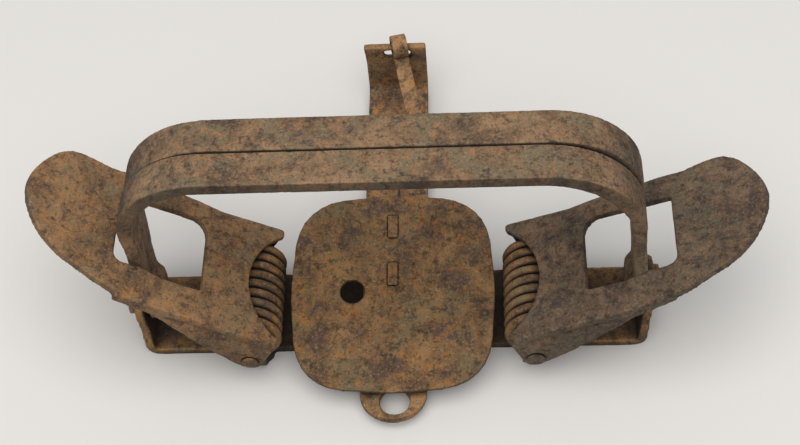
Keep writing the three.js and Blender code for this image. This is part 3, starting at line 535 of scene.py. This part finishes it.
def crease(side, rest_degrees, front):
    """Presses a shallow crease into a lever's front flange, under its bend."""
    rest = math.radians(rest_degrees)
    along = Vector((side * math.cos(rest), 0, math.sin(rest)))
    up = Vector((-side * math.sin(rest), 0, math.cos(rest)))

    def press(mesh):
        for vertex in mesh.vertices:
            p = vertex.co / MM - Vector((side * PIN_X, 0, PIN_Z))
            u, w = p.dot(along), p.dot(up)
            if p.y > front + CREASE_REACH or not 0 < u < CREASE_LENGTH:
                continue
            depth = math.exp(-((w - CREASE_HEIGHT) / CREASE_WIDTH) ** 2)
            depth *= min(1, u / CREASE_START, (CREASE_LENGTH - u) / CREASE_FADE)
            vertex.co.y += CREASE_DEPTH * depth * MM
    return press


def trim_lugs(mesh):
    """Tapers the front lugs below the pins, so that they end inside the levers' flanges."""
    for vertex in mesh.vertices:
        x, y, z = vertex.co / MM
        if abs(abs(x) - PIN_X) < LUG_REACH and y < LUG_BACK and z < PIN_Z:
            taper = LUG_TAPER * min(1, (LUG_BACK - y) / LUG_TAPER_IN)
            taper *= min(1, (PIN_Z - z) / LUG_TAPER_DOWN)
            vertex.co.x += (math.copysign(PIN_X, x) - x) * taper * MM


print("creases", CREASE_DEPTH, "mm deep, legs", LEG_SWELL, "mm further out")
print("lugs narrowed by", LUG_TAPER, "of their width at the foot")

# %% [markdown]
# Now the sixteen steel pieces, each with the body that it rides on, its rust, the slot that names its
# finish, and the size of its voxels. A small piece needs a finer remesh than a long strap, or its
# round head would turn into steps.

# %% The sixteen worn pieces
COARSE = 1
BIG, PLATE, SMALL = 0.55 * COARSE, 0.45 * COARSE, 0.3 * COARSE
WORN = [
    ("base_strap", "base", "strap", "strap_rust", BIG),
    ("cross_piece", "base", "cross", "strap_rust", BIG),
    ("lever_left", "lever_left", "lever_left", "lever_rust", BIG),
    ("lever_right", "lever_right", "lever_right", "lever_rust", BIG),
    ("jaw_front", "jaw_front", "jaw", "jaw_rust", BIG),
    ("jaw_back", "jaw_back", "jaw", "jaw_rust", BIG),
    ("pan", "pan", "pan", "pan_rust", PLATE),
    ("pan_shank", "pan", "pan", "strap_rust", SMALL),
    ("dog", "dog", "cross", "strap_rust", SMALL),
    ("pan_post", "base", "strap", "strap_rust", SMALL),
    ("pan_pin", "base", "rivet", "rivet_rust", SMALL),
    ("post_rivet", "base", "rivet", "rivet_rust", SMALL),
    ("lever_pin_left", "base", "lever_left", "rivet_rust", SMALL),
    ("lever_pin_right", "base", "lever_right", "rivet_rust", SMALL),
    ("frame_rivet_left", "base", "rivet", "rivet_rust", SMALL),
    ("frame_rivet_right", "base", "rivet", "rivet_rust", SMALL),
]
FLANGE_FRONT_LEFT, FLANGE_FRONT_RIGHT = -25.8, -26.5
BEFORE = {"pan_shank": peen, "lever_pin_left": flatten_heads, "lever_pin_right": flatten_heads}
AFTER = {"base_strap": trim_lugs, "jaw_front": bow_legs, "jaw_back": bow_legs,
         "lever_left": crease(-1, LEVER_REST_LEFT, FLANGE_FRONT_LEFT),
         "lever_right": crease(1, LEVER_REST_RIGHT, FLANGE_FRONT_RIGHT)}
for name, body, material, slot, voxel in WORN:
    wear = SLIGHT if voxel == SMALL else STOUT
    worn_copy(name, body, material, slot, voxel, **wear, before=BEFORE.get(name), after=AFTER.get(name))

# %% [markdown]
# Each spring is one round wire with a straight leg at each end: the lower one lies on the strap, and
# the upper one presses under the lever's plate. A swept coil has an open ring at either end. The legs
# are made as by hand: the ring is selected, extruded straight on in short steps, and closed.

# %% Ends for a wire
WIRE = 3.1


def stretch_end(piece, centre, direction, length, parts):
    """Extrudes the open ring near a point along a direction, and closes it."""
    only(piece)
    bpy.ops.object.mode_set(mode="EDIT")
    bpy.ops.mesh.select_mode(type="EDGE")
    bpy.ops.mesh.select_all(action="DESELECT")
    work = bmesh.from_edit_mesh(piece.data)
    for edge in work.edges:
        edge.select = edge.is_boundary and all((v.co - centre).length < WIRE * MM for v in edge.verts)
    bmesh.update_edit_mesh(piece.data)
    for _ in range(parts):
        bpy.ops.mesh.extrude_region_move(TRANSFORM_OT_translate={"value": direction * (length / parts)})
    bpy.ops.mesh.edge_face_add()
    bpy.ops.object.mode_set(mode="OBJECT")


def open_edges(piece):
    """How many of the piece's edges have a face on one side only."""
    work = bmesh.new()
    work.from_mesh(piece.data)
    count = sum(1 for edge in work.edges if edge.is_boundary)
    work.free()
    return count


print("wire:", WIRE, "mm thick")

# %% [markdown]
# The coils are a circle in the wire's size that a Screw modifier sweeps eight times round the pin
# while it climbs along it. A curve with a round bevel could make them too, but the sweep needs only
# an angle and a length. It starts at the bottom, above the strap, and ends under the lever's plate.

# %% The two coil springs
# The right lever and its spring lie this much further forward
RIGHT_SHIFT = -0.7
COIL_RADIUS = 8.05
COIL_FRONT, COIL_BACK = -17.0, 13.1
TURNS = 8
LOWER_LEG, UPPER_LEG = 5.4, 12.5
LOWER_LEG_PARTS, UPPER_LEG_PARTS = 6, 12
WIRE_SIDES, RINGS_PER_TURN = 14, 40
WIRE_MERGE_WITHIN = 0.001
WIRE_SCALE_DEPTH, WIRE_PIT_DEPTH, WIRE_SEED = 0.07, 0.06, 3
FULL_TURN = 2 * math.pi


def coil_spring(name, node, side, rest_degrees, joint_shift):
    """Winds one spring. side is -1 on the left and 1 on the right."""
    rest = math.radians(rest_degrees)
    pin = Vector((side * PIN_X, joint_shift, PIN_Z)) * MM
    bottom = Vector((0, COIL_FRONT, -COIL_RADIUS)) * MM
    top = Vector((-side * math.sin(rest) * COIL_RADIUS, COIL_BACK, math.cos(rest) * COIL_RADIUS)) * MM
    sweep = math.pi - rest + FULL_TURN * TURNS
    rings = round(sweep / FULL_TURN * RINGS_PER_TURN)
    bpy.ops.object.select_all(action="DESELECT")
    bpy.ops.mesh.primitive_circle_add(vertices=WIRE_SIDES, radius=WIRE / 2 * MM, fill_type="NOTHING",
                                      location=(0, 0, 0), rotation=(0, math.pi / 2, 0))
    piece = bpy.context.object
    piece.name = name
    bpy.ops.object.transform_apply(rotation=True)
    for vertex in piece.data.vertices:
        vertex.co += bottom
    finish_modifier(piece, "SCREW", axis="Y", angle=side * sweep, iterations=1, steps=rings,
                    screw_offset=(COIL_BACK - COIL_FRONT) * MM, render_steps=rings,
                    use_merge_vertices=False)
    outward, along_lever = Vector((side, 0, 0)), Vector((side * math.cos(rest), 0, math.sin(rest)))
    stretch_end(piece, bottom, outward, LOWER_LEG * MM, LOWER_LEG_PARTS)
    stretch_end(piece, top, along_lever, UPPER_LEG * MM, UPPER_LEG_PARTS)
    only(piece)
    bpy.ops.object.mode_set(mode="EDIT")
    bpy.ops.mesh.select_all(action="SELECT")
    bpy.ops.mesh.remove_doubles(threshold=WIRE_MERGE_WITHIN * MM)
    bpy.ops.mesh.normals_make_consistent(inside=False)
    bpy.ops.object.mode_set(mode="OBJECT")
    piece.location = pin
    bpy.ops.object.transform_apply(location=True)
    weather(piece, WIRE_SCALE_DEPTH, WIRE_PIT_DEPTH, seed=WIRE_SEED + side)
    bpy.ops.object.shade_smooth()
    piece.data.materials.append(RUSTS["spring"])
    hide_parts(node)
    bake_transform(piece)
    points = [vertex.co / MM for vertex in piece.data.vertices]
    box = [[round(end(point[i] for point in points), 1) for i in range(3)] for end in (min, max)]
    packed = [[round(v / MM, 1) for v in corner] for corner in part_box(node)]
    print(name, len(piece.data.polygons), "faces,", open_edges(piece), "open edges")
    print("box in mm", box, "where the packed spring has", packed)


coil_spring("wound_spring_left", "spring_left", -1, LEVER_REST_LEFT, 0)
coil_spring("wound_spring_right", "spring_right", 1, LEVER_REST_RIGHT, RIGHT_SHIFT)

# %% [markdown]
# The trap lies on a plain pale board. One large soft lamp hangs above the viewer's head, and the
# room adds a weak even light, so tops are bright, faces that look forward get about half of that,
# and the shadows are wide and pale and fall behind.

# %% Board, lamp and room
# Sizes and places in metres, power in watts
BOARD_COLOUR = (0.700, 0.680, 0.650)
BOARD_SIZE, BOARD_ROUGHNESS = 6, 0.9
LAMP_PLACE, LAMP_SIZE, LAMP_POWER = (-0.02, -0.36, 1.22), 1.6, 15.2
LAMP_COLOUR = (1.0, 0.985, 0.965)
ROOM_COLOUR, ROOM_LIGHT = (0.96, 0.98, 1.0), 0.52


def plain_board():
    """Lays the board under the trap. It isn't part of the object."""
    bpy.ops.object.select_all(action="DESELECT")
    bpy.ops.mesh.primitive_plane_add(size=BOARD_SIZE, location=(0, 0, 0))
    board = bpy.context.object
    board.name = "board"
    material = bpy.data.materials.new("board_paint")
    material.use_nodes = True
    shader = material.node_tree.nodes["Principled BSDF"]
    shader.inputs["Base Color"].default_value = (*BOARD_COLOUR, 1)
    shader.inputs["Roughness"].default_value = BOARD_ROUGHNESS
    board.data.materials.append(material)


def soft_lamp(name, place, size, power, colour):
    """Hangs a round lamp at a place and turns it towards the trap."""
    lamp = bpy.data.objects.new(name, bpy.data.lights.new(name, "AREA"))
    bpy.context.scene.collection.objects.link(lamp)
    lamp.data.shape = "DISK"
    lamp.data.size = size
    lamp.data.energy = power
    lamp.data.color = colour
    lamp.location = place
    lamp.rotation_mode = "QUATERNION"
    lamp.rotation_quaternion = (-Vector(place)).to_track_quat("-Z", "Y")


plain_board()
soft_lamp("overhead", LAMP_PLACE, LAMP_SIZE, LAMP_POWER, LAMP_COLOUR)
world = bpy.data.worlds.new("room")
bpy.context.scene.world = world
world.use_nodes = True
room = world.node_tree.nodes["Background"]
room.inputs["Color"].default_value = (*ROOM_COLOUR, 1)
room.inputs["Strength"].default_value = ROOM_LIGHT
bpy.context.scene.view_settings.view_transform = "Standard"
print("light: one lamp of", LAMP_POWER, "W, and the room at", ROOM_LIGHT)
